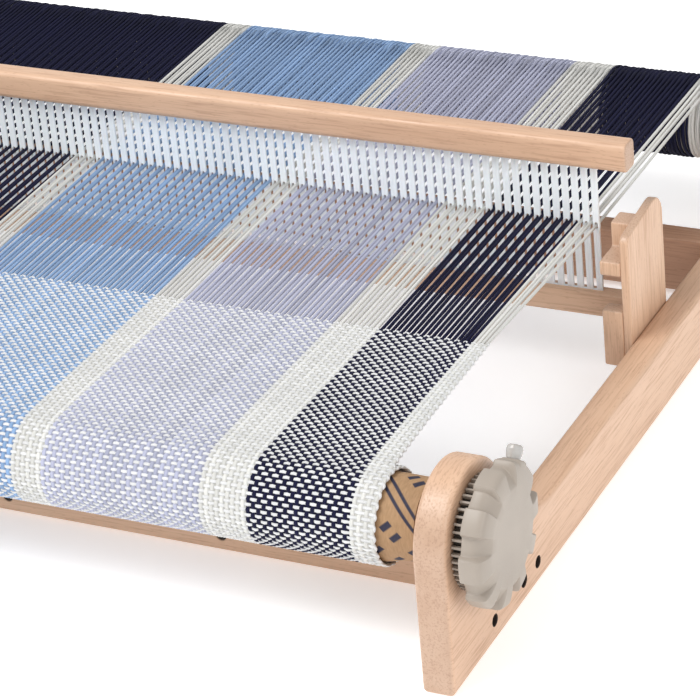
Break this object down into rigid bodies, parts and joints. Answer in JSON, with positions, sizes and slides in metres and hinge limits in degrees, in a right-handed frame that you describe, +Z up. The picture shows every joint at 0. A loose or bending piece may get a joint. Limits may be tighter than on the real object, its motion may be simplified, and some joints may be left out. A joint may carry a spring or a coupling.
{
  "type": "loom",
  "caption": "Table loom with a lifting rigid heddle between two ratchet rollers in a low beech frame, dressed with a striped warp and part-woven cloth.",
  "frame": {"origin": "centre of the bounding box at table height, under the middle of the warp", "axes": "+X along the rollers towards the handles, +Y from the weaver to the back of the loom, +Z up"},
  "size_m": [0.923, 0.628, 0.171],
  "materials": {
    "beech": "oiled",
    "plastic_grey": "moulded",
    "plastic_clear": "moulded",
    "reed_plastic": "moulded",
    "steel_dark": "blackened",
    "kraft": "paper",
    "paper_pale": "paper",
    "cloth": "woven",
    "warp_yarn": "yarn"
  },
  "bodies": {
    "frame": {"side_frame_left": "beech", "side_frame_right": "beech", "front_cross_rail": "beech", "rear_cross_rail": "beech", "rail_bolts": "steel_dark", "front_rail_screws": "steel_dark", "heddle_block_left": "beech", "heddle_block_right": "beech", "block_screws": "steel_dark", "pawl_pivots": "steel_dark", "cloth_web": "cloth", "warp_front_slots": "warp_yarn", "warp_front_eyes": "warp_yarn", "warp_rear_slots": "warp_yarn", "warp_rear_eyes": "warp_yarn"},
    "cloth_beam": {"cloth_roller": "beech", "cloth_paper": "kraft", "cloth_roll": "cloth", "cloth_ratchet": "plastic_grey", "cloth_handle": "plastic_grey", "cloth_handle_peg": "plastic_clear"},
    "warp_beam": {"warp_roller": "beech", "warp_paper": "paper_pale", "warp_roll": "warp_yarn", "warp_ratchet": "plastic_grey", "warp_handle": "plastic_grey", "warp_handle_peg": "plastic_clear"},
    "heddle": {"heddle_top_rail": "beech", "heddle_bottom_rail": "beech", "heddle_reed": "reed_plastic"},
    "cloth_click_pawl": {"cloth_pawl": "plastic_grey"},
    "warp_click_pawl": {"warp_pawl": "plastic_grey"}
  },
  "joints": [
    {"name": "cloth_roller_turn", "type": "hinge", "parent": "frame", "child": "cloth_beam", "pos_m": [0, -0.27, 0.0845], "axis": [1, 0, 0], "continuous": true},
    {"name": "warp_roller_turn", "type": "hinge", "parent": "frame", "child": "warp_beam", "pos_m": [0, 0.27, 0.0845], "axis": [1, 0, 0], "continuous": true},
    {"name": "heddle_lift", "type": "slide", "parent": "frame", "child": "heddle", "axis": [0, 0, 1], "range_m": [0, 0.028]},
    {"name": "cloth_pawl_lift", "type": "hinge", "parent": "frame", "child": "cloth_click_pawl", "pos_m": [0.4425, -0.22867, 0.07265], "axis": [1, 0, 0], "range_deg": [0, 12], "stiffness_Nm_per_rad": 0.01, "springref_deg": -20.05},
    {"name": "warp_pawl_lift", "type": "hinge", "parent": "frame", "child": "warp_click_pawl", "pos_m": [0.4425, 0.22867, 0.07265], "axis": [1, 0, 0], "range_deg": [-12, 0], "stiffness_Nm_per_rad": 0.01, "springref_deg": 20.05}
  ]
}
